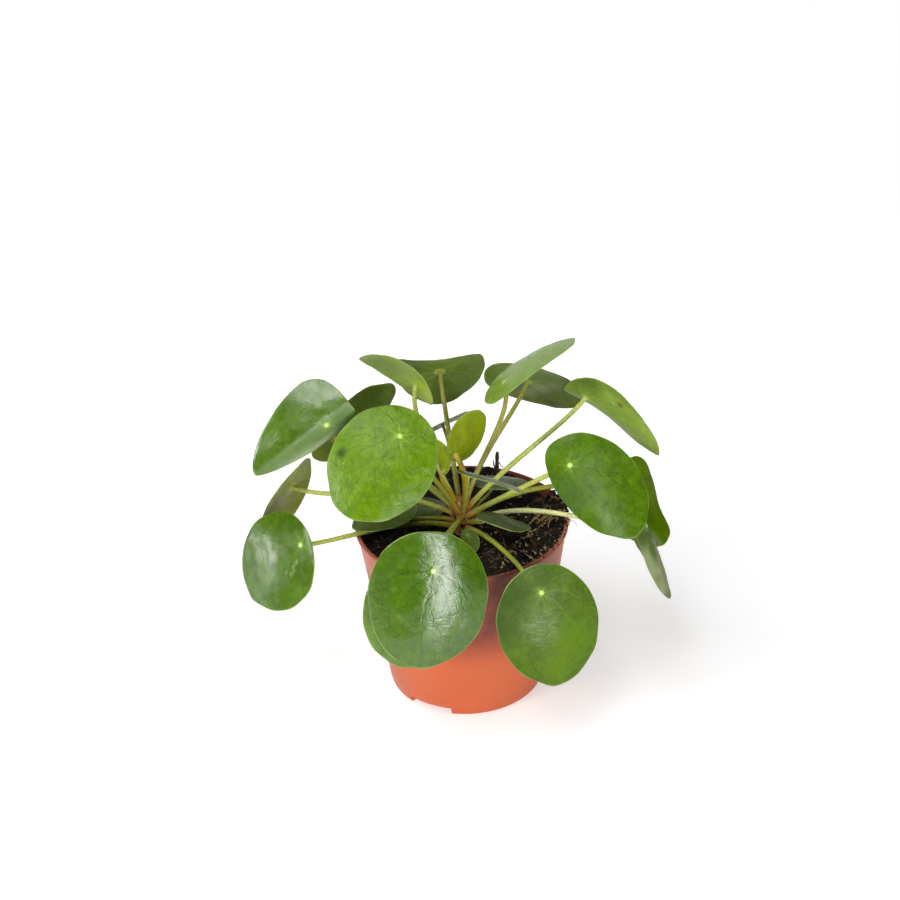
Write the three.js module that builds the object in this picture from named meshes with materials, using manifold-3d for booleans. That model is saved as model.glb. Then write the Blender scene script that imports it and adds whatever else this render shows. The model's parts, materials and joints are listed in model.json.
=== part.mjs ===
// A pilea plant in a plastic nursery pot.
// Millimetres, +Z up. The origin is the middle of the pot's underside, and the plant's fullest side
// looks along -Y.
import * as THREE from 'three';
import { mergeVertices } from 'three/addons/utils/BufferGeometryUtils.js';
import Module from 'manifold-3d';

const wasm = await Module();
wasm.setup();

// Driving dimensions. Bearings are in degrees round +Z from +X.
const GAP = 0.3;             // clearance between neighbouring pieces
const ROUND_SIDES = 48;      // of the pot and the soil

const pot = {
  height: 103,
  rimRadius: 60,
  footRadius: 44.8,
  footChamfer: 1.2,
  wall: 1.2,
  floor: 1.4,
  lipHeight: 2.2,
  lipOverhang: 0.8,          // beyond the wall's outer side
  lipWidth: 2.2,
  lipChamfer: 0.5,
  lipTaper: 2,               // height over which the lip runs into the wall inside
};

const drain = {              // pockets in the pot's bottom edge that let water out
  count: 3,
  firstBearing: -120,
  halfAngle: 17,
  height: 4.6,
  depth: 9,
  inset: 0.4,                // of a pocket's walls from the pot's outer side
  lift: 0.2,                 // of a pocket's walls from the pot's underside
  holeRadius: 2.2,
  holeBearing: 8,            // of each hole from the middle of its pocket
  holeSides: 10,
  arcSteps: 4,
};

const soil = {
  front: 98,                 // height of the surface along the front of the pot
  back: 104,
  dip: 5,                    // fall towards the stem
  dipRadius: 33,             // distance from the stem at which most of the dip has gone
  lump: 0.6,                 // height of each set of lumps
  lumps: [                   // cycles per mm along X, cycles per mm along Y, start of the cycle
    [0.05, 0.04, 0.2],
    [0.05, -0.04, 0.6],
    [0.085, -0.075, 0],
  ],
  rings: 9,
};

const stem = {
  bottom: 76,
  top: 115,
  footRadius: 4.8,
  tipRadius: 4.2,
  rise: 3,                   // of the rounded growing tip above the top
  tipRings: [[0.7, 0.7], [1, 0.25]], // shares of the rise and of the radius
  scar: 0.35,                // depth of the rings that fallen leaves left
  scarPitch: 5,
  sides: 14,
  steps: 18,
};

const blade = {
  thickness: 1,
  sides: 20,
  rings: 3,
  waves: 3,                  // round the edge
  offset: 0.25,              // share of the length by which the middle lies beyond the hub
  point: 0.03,               // share of the length by which the tip is drawn out
  pointPower: 6,             // the higher, the narrower the tip
  bendSteps: 12,
};

const petiole = {
  root: 2.2,                 // distance of its start from the stem's axis
  baseRadius: 1.5,
  tipRadius: 1.25,
  leaving: 0.4,              // share of its span over which it keeps its first direction
  arriving: 0.25,            // share of its span over which it turns to meet the blade
  meet: 0.5,
  sides: 6,
  steps: 8,
};

const twig = { foot: [22.5, 41, 96], tip: [22, 43, 121], footRadius: 2, tipRadius: 1.1, sides: 7, steps: 3 };

// The leaves. hub is where the petiole meets the blade. The blade's upper side leans by lean degrees
// from level and looks toward the bearing, and turn swings the tip away from straight downhill.
// bend is [bearing of the bend on the blade, arch in degrees from edge to edge, fold in degrees, place
// of the fold from the hub, softness of the fold], and sag lowers both ends of the other direction.
// aside makes the blade wider on one side of the midrib and narrower on the other, and egg moves its
// widest place toward the hub by a share of its length. wave is the height of the waves in its edge.
// base is [height on the stem, rise of the petiole in degrees, bearing]. meet is 1 where the petiole
// meets the blade square and 0 where it comes straight. slim scales the petiole's radius.
const leaves = [
  { name: 'leaf_01', hub: [-70, -20, 179], lean: 77, toward: -79, turn: -59, long: 56, wide: 35, aside: -9,
    offset: 0.2, point: 0.13, egg: 0.18, bend: [90, 8, 55, 0, 3], sag: 2, wave: 1, base: [109, 50, 180],
    meet: 1 },
  { name: 'leaf_02', hub: [-71, 45, 134], lean: 79, toward: 127, turn: -125, long: 60, wide: 35,
    offset: 0.22, bend: [90, 30, 0, 0, 1], sag: 2, wave: 0.8, base: [104, 44, 134] },
  { name: 'leaf_03', hub: [-31, -30, 176], lean: 45, toward: -89, turn: -38, long: 64, wide: 56,
    bend: [90, 30, 0, 0, 1], sag: 4, wave: 1, base: [109, 62, -132] },
  { name: 'leaf_04', hub: [-97, 29, 112], lean: 71, toward: 146, turn: 34, long: 58, wide: 40, offset: 0.17,
    bend: [90, 30, 0, 0, 1], sag: 2, wave: 1, base: [106.3, 32, 176] },
  { name: 'leaf_05', hub: [-89, -25, 107], lean: 59, toward: -129, turn: -45, long: 55, wide: 55, offset: 0.36,
    bend: [90, 20, 0, 0, 1], sag: 2, wave: 1, base: [99.3, 28, -160] },
  { name: 'leaf_06', hub: [-16, -85, 127], lean: 68, toward: -90, turn: -15, long: 72, wide: 66, offset: 0.22,
    bend: [100, 75, 0, 0, 1], sag: 3, wave: 1, base: [106.3, 25, -98] },
  { name: 'leaf_07', hub: [-22, -73, 108], lean: 71, toward: -95, turn: -18, long: 59, wide: 56, offset: 0.28,
    bend: [90, 30, 0, 0, 1], sag: 3, wave: 1, base: [103, 14, -117] },
  { name: 'leaf_08', hub: [40, -77, 105], lean: 73, toward: -83, turn: 9, long: 68, wide: 55, offset: 0.28,
    bend: [90, 40, 0, 0, 1], sag: 3, wave: 1, base: [99.3, 22, -57] },
  { name: 'leaf_09', hub: [59, -25, 151], lean: 64, toward: -98, turn: 46, long: 66, wide: 44, aside: 4.5,
    offset: 0.27, bend: [-110, 50, 30, 7, 3], sag: 3, wave: 1, base: [106.3, 38, -28] },
  { name: 'leaf_10', hub: [100, 22, 111], lean: 69, toward: -35, turn: -7, long: 54, wide: 45,
    bend: [0, 20, -50, 25, 3], sag: 4, wave: 1, base: [103, 36, 12] },
  { name: 'leaf_11', hub: [101, -24, 110], lean: 71, toward: -19, turn: 12, long: 66, wide: 32, aside: 6,
    point: 0.1, bend: [90, 0, 110, 0, 2], sag: 2, wave: 0.6, base: [99.3, 36, -4] },
  { name: 'leaf_12', hub: [71, 14, 171], lean: 59, toward: 50, turn: -65, long: 58, wide: 39, aside: -2,
    offset: 0.28, point: 0.09, bend: [90, -20, -20, 0, 3], sag: 3, wave: 1, base: [109, 50, 8] },
  { name: 'leaf_13', hub: [26, 12, 183], lean: 41, toward: 170, turn: -144, long: 58, wide: 46,
    bend: [90, 20, 0, 0, 1], sag: 5, wave: 0.4, base: [110, 66, 44] },
  { name: 'leaf_14', hub: [41, 56, 160], lean: 57, toward: 72, turn: -73, long: 57, wide: 46, offset: 0.06,
    bend: [90, 20, 0, 0, 1], sag: 3, wave: 0.8, base: [105.5, 52, 66] },
  { name: 'leaf_15', hub: [-9, 48, 173], lean: 62, toward: 93, turn: 0, long: 54, wide: 52, offset: 0.05,
    bend: [180, 10, 30, 10, 2], sag: -5, wave: 0.6, base: [107.5, 55, 100] },
  { name: 'leaf_16', hub: [-22, 24, 177], lean: 67, toward: 42, turn: 130, long: 45, wide: 39, aside: 7,
    offset: 0.2, bend: [90, 30, 0, 0, 1], sag: 5.5, wave: 0.6, base: [110.5, 62, 143] },
  { name: 'leaf_17', hub: [-2, -8, 150], lean: 102, toward: 116, turn: -138, long: 30, wide: 20, offset: 0.4,
    bend: [90, -30, 0, 0, 1], sag: 0, wave: 0.3, base: [113, 84, -20], slim: 1.2 },
  { name: 'leaf_18', hub: [-9, -9, 141], lean: 97, toward: 43, turn: 149, long: 20, wide: 13, offset: 0.4,
    bend: [90, 0, -80, 0, 1], sag: 0, wave: 0.2, base: [112, 80, 180], slim: 0.6 },
  { name: 'leaf_19', hub: [-9, 44, 141], lean: 42, toward: 128, turn: -122, long: 29, wide: 24, offset: 0.1,
    bend: [90, 20, 0, 0, 1], sag: 1, wave: 0.4, base: [102.5, 50, 92], slim: 0.7 },
  { name: 'leaf_20', hub: [14, -20, 117], lean: 18, toward: 52, turn: -56, long: 29, wide: 24, offset: 0.3,
    bend: [90, 20, 0, 0, 1], sag: 1, wave: 0.5, base: [103, 25, -45], slim: 0.7 },
  { name: 'leaf_21', hub: [3, -22, 107], lean: 70, toward: -104, turn: 24, long: 13, wide: 10,
    bend: [90, 20, 0, 0, 1], sag: 0, wave: 0.2, base: [99.3, 15, -93], slim: 0.6 },
  { name: 'leaf_22', hub: [5, -24, 148], lean: 31, toward: 59, turn: -78, long: 36, wide: 27, offset: 0.3,
    bend: [90, 20, 0, 0, 1], sag: 1, wave: 0.4, base: [108, 62, -75], slim: 0.7 },
  { name: 'leaf_23', hub: [20, 18, 116], lean: 11, toward: 50, turn: -30, long: 31, wide: 21, offset: 0.12,
    bend: [90, 20, 0, 0, 1], sag: 1, wave: 0.4, base: [102, 28, 46], slim: 0.6 },
  { name: 'leaf_24', hub: [-34, -7, 114], lean: 11, toward: 146, turn: 31, long: 36, wide: 32,
    bend: [90, 20, 0, 0, 1], sag: 1, wave: 0.5, base: [103, 12, 172], slim: 0.8 },
  { name: 'leaf_25', hub: [-15, 10, 104], lean: 4, toward: 173, turn: -35, long: 22, wide: 20,
    bend: [90, 20, 0, 0, 1], sag: 0, wave: 0.4, base: [99.3, 10, 125], slim: 0.6 },
];

const radians = THREE.MathUtils.degToRad;
const { lerp } = THREE.MathUtils;

// Materials
const colours = {
  terracotta: new THREE.MeshStandardMaterial({ color: 0xb9603a, roughness: 0.5, metalness: 0 }),
  peat: new THREE.MeshStandardMaterial({ color: 0x1d1512, roughness: 0.95, metalness: 0 }),
  stem: new THREE.MeshStandardMaterial({ color: 0x6b4a26, roughness: 0.75, metalness: 0 }),
  petiole: new THREE.MeshStandardMaterial({ color: 0x6f6a3c, roughness: 0.5, metalness: 0 }),
  leaf: new THREE.MeshStandardMaterial({ color: 0x3f6b3a, roughness: 0.35, metalness: 0 }),
  bark: new THREE.MeshStandardMaterial({ color: 0x4a3020, roughness: 0.9, metalness: 0 }),
};

// Meshes and solids
function meshed(positions, index) {
  const geometry = new THREE.BufferGeometry();
  geometry.setAttribute('position', new THREE.Float32BufferAttribute(positions, 3));
  geometry.setIndex(index);
  geometry.computeVertexNormals();
  return geometry;
}

function solidOf(geometry) {
  const bare = geometry.clone();
  bare.deleteAttribute('normal');
  bare.deleteAttribute('uv');
  const merged = mergeVertices(bare);
  return new wasm.Manifold(new wasm.Mesh({
    numProp: 3,
    vertProperties: new Float32Array(merged.attributes.position.array),
    triVerts: new Uint32Array(merged.index.array),
  }));
}

function geometryOf(solid) {
  const mesh = solid.getMesh();
  return meshed(mesh.vertProperties, [...mesh.triVerts]);
}

// A ring of points round the +Z axis, each at the height that belongs to its place
function levelRing(radius, sides, heightAt) {
  return Array.from({ length: sides }, (_, n) => {
    const angle = (2 * Math.PI * n) / sides;
    const x = radius * Math.cos(angle);
    const y = radius * Math.sin(angle);
    return new THREE.Vector3(x, y, heightAt(x, y));
  });
}

// A closed body through rings that have the same number of points, with a fan over each end
function ringedBody(rings) {
  const sides = rings[0].length;
  const positions = rings.flat().flatMap((point) => point.toArray());
  for (const ring of [rings[0], rings[rings.length - 1]]) {
    const sum = ring.reduce((total, point) => total.add(point), new THREE.Vector3());
    positions.push(...sum.divideScalar(sides).toArray());
  }
  const firstCentre = rings.length * sides;
  const lastCentre = firstCentre + 1;
  const lastRing = firstCentre - sides;
  const index = [];
  for (let side = 0; side < sides; side += 1) {
    const next = (side + 1) % sides;
    for (let low = 0; low < lastRing; low += sides) {
      const high = low + sides;
      index.push(low + side, low + next, high + next, low + side, high + next, high + side);
    }
    index.push(firstCentre, next, side);
    index.push(lastCentre, lastRing + side, lastRing + next);
  }
  return meshed(positions, index);
}

// A tube along a curve. Its last ring lies in the plane square to endNormal, where one is given.
function tubeAlong(curve, radiusAt, sides, steps, endNormal) {
  const frames = curve.computeFrenetFrames(steps, false);
  const rings = [];
  for (let step = 0; step <= steps; step += 1) {
    const centre = curve.getPointAt(step / steps);
    const radius = radiusAt(step / steps);
    rings.push(Array.from({ length: sides }, (_, side) => {
      const angle = (2 * Math.PI * side) / sides;
      const out = frames.normals[step].clone().multiplyScalar(Math.cos(angle) * radius);
      out.addScaledVector(frames.binormals[step], Math.sin(angle) * radius);
      if (step === steps && endNormal) out.addScaledVector(endNormal, -out.dot(endNormal));
      return out.add(centre);
    }));
  }
  return ringedBody(rings);
}

// Pot
function outerRadius(height) {
  return lerp(pot.footRadius, pot.rimRadius - pot.lipOverhang, height / pot.height);
}

function potShell() {
  const under = pot.height - pot.lipHeight;
  const inner = pot.rimRadius - pot.lipWidth;
  const profile = [
    [0, 0],
    [pot.footRadius - pot.footChamfer, 0],
    [pot.footRadius, pot.footChamfer],
    [outerRadius(under), under],
    [pot.rimRadius, under + pot.lipChamfer],
    [pot.rimRadius, pot.height - pot.lipChamfer],
    [pot.rimRadius - pot.lipChamfer, pot.height],
    [inner + pot.lipChamfer, pot.height],
    [inner, pot.height - pot.lipChamfer],
    [outerRadius(under - pot.lipTaper) - pot.wall, under - pot.lipTaper],
    [outerRadius(pot.floor) - pot.wall, pot.floor],
    [0, pot.floor],
  ];
  const points = profile.map(([radius, height]) => new THREE.Vector2(radius, height));
  return solidOf(new THREE.LatheGeometry(points, ROUND_SIDES).rotateX(Math.PI / 2));
}

// A block bent round the pot's axis, between two radii and two heights
function sector(inside, outside, low, high, middle, half) {
  const from = radians(middle - half);
  const to = radians(middle + half);
  const arc = (radius, first, last) => Array.from({ length: drain.arcSteps + 1 }, (_, step) => {
    const angle = lerp(first, last, step / drain.arcSteps);
    return new THREE.Vector2(radius * Math.cos(angle), radius * Math.sin(angle));
  });
  const shape = new THREE.Shape([...arc(outside, from, to), ...arc(inside, to, from)]);
  const geometry = new THREE.ExtrudeGeometry(shape, { depth: high - low, bevelEnabled: false });
  return solidOf(geometry.translate(0, 0, low));
}

function drainBearings() {
  return Array.from({ length: drain.count }, (_, n) => drain.firstBearing + (n * 360) / drain.count);
}

// The walls round each pocket, as a block that is grown by a margin
function pocketBlocks(margin) {
  const inside = pot.footRadius - drain.depth - pot.wall - margin;
  const outside = pot.footRadius - drain.inset + margin;
  const top = drain.height + pot.wall + margin;
  const half = drain.halfAngle + THREE.MathUtils.radToDeg((pot.wall + margin) / pot.footRadius);
  return drainBearings().map((bearing) => sector(inside, outside, drain.lift, top, bearing, half));
}

function drainHole(bearing) {
  const distance = pot.footRadius - drain.depth / 2;
  const angle = radians(bearing);
  const hole = new THREE.CylinderGeometry(drain.holeRadius, drain.holeRadius, pot.wall * 4, drain.holeSides);
  hole.rotateX(Math.PI / 2);
  return solidOf(hole.translate(distance * Math.cos(angle), distance * Math.sin(angle), drain.height));
}

function potGeometry() {
  let body = potShell();
  for (const block of pocketBlocks(0)) body = body.add(block);
  const inside = pot.footRadius - drain.depth;
  for (const bearing of drainBearings()) {
    const pocket = sector(inside, pot.rimRadius, -pot.floor, drain.height, bearing, drain.halfAngle);
    body = body.subtract(pocket);
    body = body.subtract(drainHole(bearing - drain.holeBearing));
    body = body.subtract(drainHole(bearing + drain.holeBearing));
  }
  return geometryOf(body);
}

// Soil
function soilHeight(x, y) {
  const across = THREE.MathUtils.clamp(y / pot.rimRadius, -1, 1);
  const level = lerp(soil.front, soil.back, (across + 1) / 2);
  const near = Math.exp(-((Math.hypot(x, y) / soil.dipRadius) ** 2));
  const lumps = soil.lumps.reduce(
    (sum, [alongX, alongY, start]) => sum + Math.sin(2 * Math.PI * (alongX * x + alongY * y + start)),
    0,
  );
  return level - soil.dip * near + soil.lump * lumps * (1 - near);
}

// The soil fills the pot, and each solid that stands in it has its own plain hole
function soilGeometry(standing) {
  const radiusAt = (height) => outerRadius(height) - pot.wall - GAP;
  const bottom = pot.floor + GAP;
  const rim = radiusAt(soil.front - soil.lump * soil.lumps.length);
  const rings = [levelRing(radiusAt(bottom), ROUND_SIDES, () => bottom)];
  for (let ring = soil.rings; ring >= 1; ring -= 1) {
    rings.push(levelRing((rim * ring) / soil.rings, ROUND_SIDES, soilHeight));
  }
  let body = solidOf(ringedBody(rings));
  for (const solid of [...pocketBlocks(GAP), ...standing]) body = body.subtract(solid);
  return geometryOf(body);
}

// Stem, grown by a margin
function stemGeometry(margin) {
  const rings = [];
  for (let step = 0; step <= stem.steps; step += 1) {
    const share = step / stem.steps;
    const height = lerp(stem.bottom - margin, stem.top, share);
    const scar = (stem.scar * (1 + Math.cos((2 * Math.PI * height) / stem.scarPitch))) / 2;
    const radius = lerp(stem.footRadius, stem.tipRadius, share) - scar + margin;
    rings.push(levelRing(radius, stem.sides, () => height));
  }
  for (const [riseShare, radiusShare] of stem.tipRings) {
    const height = stem.top + (stem.rise + margin) * riseShare;
    rings.push(levelRing((stem.tipRadius + margin) * radiusShare, stem.sides, () => height));
  }
  return ringedBody(rings);
}

// Leaf blade, with the midrib along +X, the tip at +X, the upper side at +Z and the hub at the origin.
// A point of the flat blade goes where the leaf's bend and sag carry it.
function bent(leaf, x, y) {
  const [bearing, arch, fold, place, softness] = leaf.bend;
  const across = [Math.cos(radians(bearing)), Math.sin(radians(bearing))];
  const along = x * across[0] + y * across[1];
  const aside = y * across[0] - x * across[1];
  const slope = (s) => radians((arch * s) / leaf.long) + radians(fold) / (1 + Math.exp((place - s) / softness));
  let reach = 0;
  let height = -leaf.sag * (aside / (leaf.long / 2)) ** 2;
  for (let step = 0; step < blade.bendSteps; step += 1) {
    const tilt = slope((along * (step + 0.5)) / blade.bendSteps) - slope(0);
    reach += (Math.cos(tilt) * along) / blade.bendSteps;
    height -= (Math.sin(tilt) * along) / blade.bendSteps;
  }
  return new THREE.Vector3(
    reach * across[0] - aside * across[1],
    reach * across[1] + aside * across[0],
    height,
  );
}

// A point midway between the blade's two faces. share is 0 at the hub and 1 at the edge.
function bladePoint(leaf, share, angle) {
  const { offset = blade.offset, point = blade.point, egg = 0, aside = 0 } = leaf;
  const nip = point * Math.max(0, Math.cos(angle)) ** blade.pointPower;
  const x = leaf.long * (Math.cos(angle) / 2 + offset + nip - egg * Math.sin(angle) ** 2);
  const y = Math.sin(angle) * (leaf.wide / 2 + aside * Math.sign(Math.sin(angle)));
  const place = bent(leaf, share * x, share * y);
  place.z += leaf.wave * share ** 3 * Math.sin(blade.waves * angle + leaf.hub[0]);
  return place;
}

function bladeNormal(leaf, share, angle) {
  if (share === 0) return new THREE.Vector3(0, 0, 1);
  const step = 0.02;
  const outward = bladePoint(leaf, share + step, angle).sub(bladePoint(leaf, share - step, angle));
  const round = bladePoint(leaf, share, angle + step).sub(bladePoint(leaf, share, angle - step));
  return outward.cross(round).normalize();
}

// Odd rings are turned by half a side, and the triangles of both faces match, so that the faces
// never cross
function bladeGeometry(leaf) {
  const positions = [];
  for (const face of [1, -1]) {
    for (let ring = 0; ring <= blade.rings; ring += 1) {
      const count = ring === 0 ? 1 : blade.sides;
      for (let side = 0; side < count; side += 1) {
        const share = ring / blade.rings;
        const angle = (2 * Math.PI * (side + (ring % 2) / 2)) / blade.sides;
        const place = bladePoint(leaf, share, angle);
        place.addScaledVector(bladeNormal(leaf, share, angle), (face * blade.thickness) / 2);
        positions.push(...place.toArray());
      }
    }
  }
  const perFace = 1 + blade.rings * blade.sides;
  const vertex = (ring, side) => 1 + (ring - 1) * blade.sides + ((side + blade.sides) % blade.sides);
  const index = [];
  const addBoth = (a, b, c) => {
    index.push(a, b, c);
    index.push(perFace + a, perFace + c, perFace + b);
  };
  for (let side = 0; side < blade.sides; side += 1) {
    addBoth(0, vertex(1, side), vertex(1, side + 1));
    for (let ring = 1; ring < blade.rings; ring += 1) {
      const shift = ring % 2;
      addBoth(vertex(ring, side), vertex(ring + 1, side + shift), vertex(ring, side + 1));
      addBoth(vertex(ring, side + 1 - shift), vertex(ring + 1, side), vertex(ring + 1, side + 1));
    }
    const here = vertex(blade.rings, side);
    const next = vertex(blade.rings, side + 1);
    index.push(here, perFace + here, perFace + next, here, perFace + next, next);
  }
  return meshed(positions, index);
}

function leafAxes(leaf) {
  const lean = radians(leaf.lean);
  const toward = radians(leaf.toward);
  const turn = radians(leaf.turn);
  const outward = new THREE.Vector3(Math.cos(toward), Math.sin(toward), 0);
  const vertical = new THREE.Vector3(0, 0, 1);
  const up = outward.clone().multiplyScalar(Math.sin(lean)).addScaledVector(vertical, Math.cos(lean));
  const downhill = outward.clone().multiplyScalar(Math.cos(lean)).addScaledVector(vertical, -Math.sin(lean));
  const level = new THREE.Vector3().crossVectors(up, downhill);
  const tip = downhill.clone().multiplyScalar(Math.cos(turn)).addScaledVector(level, Math.sin(turn));
  return { up, tip, side: new THREE.Vector3().crossVectors(up, tip) };
}

// How far the blade falls below its hub within the petiole's radius
function droopAtHub(leaf) {
  const slopes = Array.from({ length: blade.sides }, (_, side) => {
    const place = bladePoint(leaf, 1 / blade.rings, (2 * Math.PI * side) / blade.sides);
    return place.z / Math.hypot(place.x, place.y);
  });
  return petiole.tipRadius * Math.min(0, ...slopes);
}

// The petiole leaves the stem at its own height and slope, and ends just under the blade
function petioleGeometry(leaf, stemSolid) {
  const { meet = petiole.meet, slim = 1 } = leaf;
  const { up } = leafAxes(leaf);
  const [height, rise, bearing] = leaf.base;
  const outward = new THREE.Vector3(Math.cos(radians(bearing)), Math.sin(radians(bearing)), 0);
  const start = outward.clone().multiplyScalar(petiole.root).setZ(height);
  const leave = outward.clone().multiplyScalar(Math.cos(radians(rise))).setZ(Math.sin(radians(rise)));
  const clearance = blade.thickness / 2 + GAP - droopAtHub(leaf);
  const end = new THREE.Vector3(...leaf.hub).addScaledVector(up, -clearance);
  const direct = end.clone().sub(start);
  const span = direct.length();
  const arrive = direct.normalize().lerp(up, meet).normalize();
  const curve = new THREE.CubicBezierCurve3(
    start,
    start.clone().addScaledVector(leave, span * petiole.leaving),
    end.clone().addScaledVector(arrive, -span * petiole.arriving),
    end,
  );
  const radiusAt = (share) => lerp(petiole.baseRadius, petiole.tipRadius, share) * slim;
  const tube = tubeAlong(curve, radiusAt, petiole.sides, petiole.steps, up);
  return geometryOf(solidOf(tube).subtract(stemSolid));
}

// Twig of bark that stands in the soil, grown by a margin
function twigGeometry(margin) {
  const foot = new THREE.Vector3(...twig.foot);
  foot.z -= margin;
  const curve = new THREE.LineCurve3(foot, new THREE.Vector3(...twig.tip));
  const radiusAt = (share) => lerp(twig.footRadius, twig.tipRadius, share) + margin;
  return tubeAlong(curve, radiusAt, twig.sides, twig.steps);
}

function named(name, geometry, material) {
  const mesh = new THREE.Mesh(geometry, material);
  mesh.name = name;
  return mesh;
}

// Assembly
const stemHole = solidOf(stemGeometry(GAP));
const twigHole = solidOf(twigGeometry(GAP));
const plant = new THREE.Group();
plant.add(named('pot', potGeometry(), colours.terracotta));
plant.add(named('soil', soilGeometry([stemHole, twigHole]), colours.peat));
plant.add(named('twig', twigGeometry(0), colours.bark));
plant.add(named('stem', stemGeometry(0), colours.stem));

for (const leaf of leaves) {
  const { up, tip, side } = leafAxes(leaf);
  const face = named(`${leaf.name}_blade`, bladeGeometry(leaf), colours.leaf);
  face.position.set(...leaf.hub);
  face.quaternion.setFromRotationMatrix(new THREE.Matrix4().makeBasis(tip, side, up));
  const stalk = named(`${leaf.name}_petiole`, petioleGeometry(leaf, stemHole), colours.petiole);
  plant.add(face, stalk);
}

export default plant;
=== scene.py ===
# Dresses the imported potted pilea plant: a turned plastic pot, loose peat, the crown of the stem, and
# 25 leaves with veins and a spot where the petiole meets them. Sizes are in millimetres in the model's
# own frame, +Z up from the middle of the pot's underside, and turn into metres as a mesh is made.
import json
from math import cos, degrees, exp, hypot, pi, radians, sin
from types import SimpleNamespace as Sizes

import bmesh
import bpy
import numpy as np
from mathutils import Matrix, Vector, noise

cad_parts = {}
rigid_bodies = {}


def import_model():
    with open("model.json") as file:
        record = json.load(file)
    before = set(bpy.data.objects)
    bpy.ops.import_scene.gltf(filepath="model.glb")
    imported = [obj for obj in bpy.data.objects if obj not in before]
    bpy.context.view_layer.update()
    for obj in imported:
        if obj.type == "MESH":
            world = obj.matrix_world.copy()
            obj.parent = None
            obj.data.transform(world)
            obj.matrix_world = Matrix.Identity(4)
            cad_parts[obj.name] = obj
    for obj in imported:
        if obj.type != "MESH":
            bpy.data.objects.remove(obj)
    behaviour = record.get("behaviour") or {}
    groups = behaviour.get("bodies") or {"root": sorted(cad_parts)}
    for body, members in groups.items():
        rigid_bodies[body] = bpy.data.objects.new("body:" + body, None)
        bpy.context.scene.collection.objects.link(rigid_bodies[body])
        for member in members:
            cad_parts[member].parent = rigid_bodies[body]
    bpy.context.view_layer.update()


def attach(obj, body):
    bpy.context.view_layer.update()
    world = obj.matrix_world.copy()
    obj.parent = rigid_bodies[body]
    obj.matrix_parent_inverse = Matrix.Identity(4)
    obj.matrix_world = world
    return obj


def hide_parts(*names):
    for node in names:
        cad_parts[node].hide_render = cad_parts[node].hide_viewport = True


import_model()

MM = 0.001
FULL_TURN = 2 * pi

# The camera stands where the photograph was taken from, 30.3 degrees above the plant
CAMERA_PLACE = (-5.0, -853.8, 647.8)
CAMERA_ELEVATION = 30.3
CAMERA_ROLL = -2.3
CAMERA_LENS = 72

# Pot, soil, stem, twig and leaves have the same sizes as in the solid model
POT = Sizes(height=103, rim=60, foot=44.8, foot_round=1.2, wall=1.2, floor=1.4, lip_height=2.2,
            lip_overhang=0.8, lip_width=2.2, lip_round=0.6, lip_taper=2, sides=192)
DRAIN = Sizes(bearings=(-120, 0, 120), half_angle=17, height=4.6, depth=9, inset=0.4, lift=0.2,
              hole_radius=2.2, hole_bearing=8, steps=10)
SOIL = Sizes(front=98, back=104, dip=5, dip_radius=33, lump=0.6,
             lumps=((0.05, 0.04, 0.2), (0.05, -0.04, 0.6), (0.085, -0.075, 0)))
STEM = Sizes(bottom=76, top=115, foot=4.8, tip=4.2, rise=3, scar=0.35, scar_pitch=5)
TWIG = Sizes(foot=(22.5, 41, 96), tip=(22, 43, 121), foot_radius=2, tip_radius=1.1)
BLADE_THICKNESS = 1
PETIOLE = Sizes(root=2.2, base=1.5, tip=1.25, leaving=0.4, arriving=0.25, gap=0.3)

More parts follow.
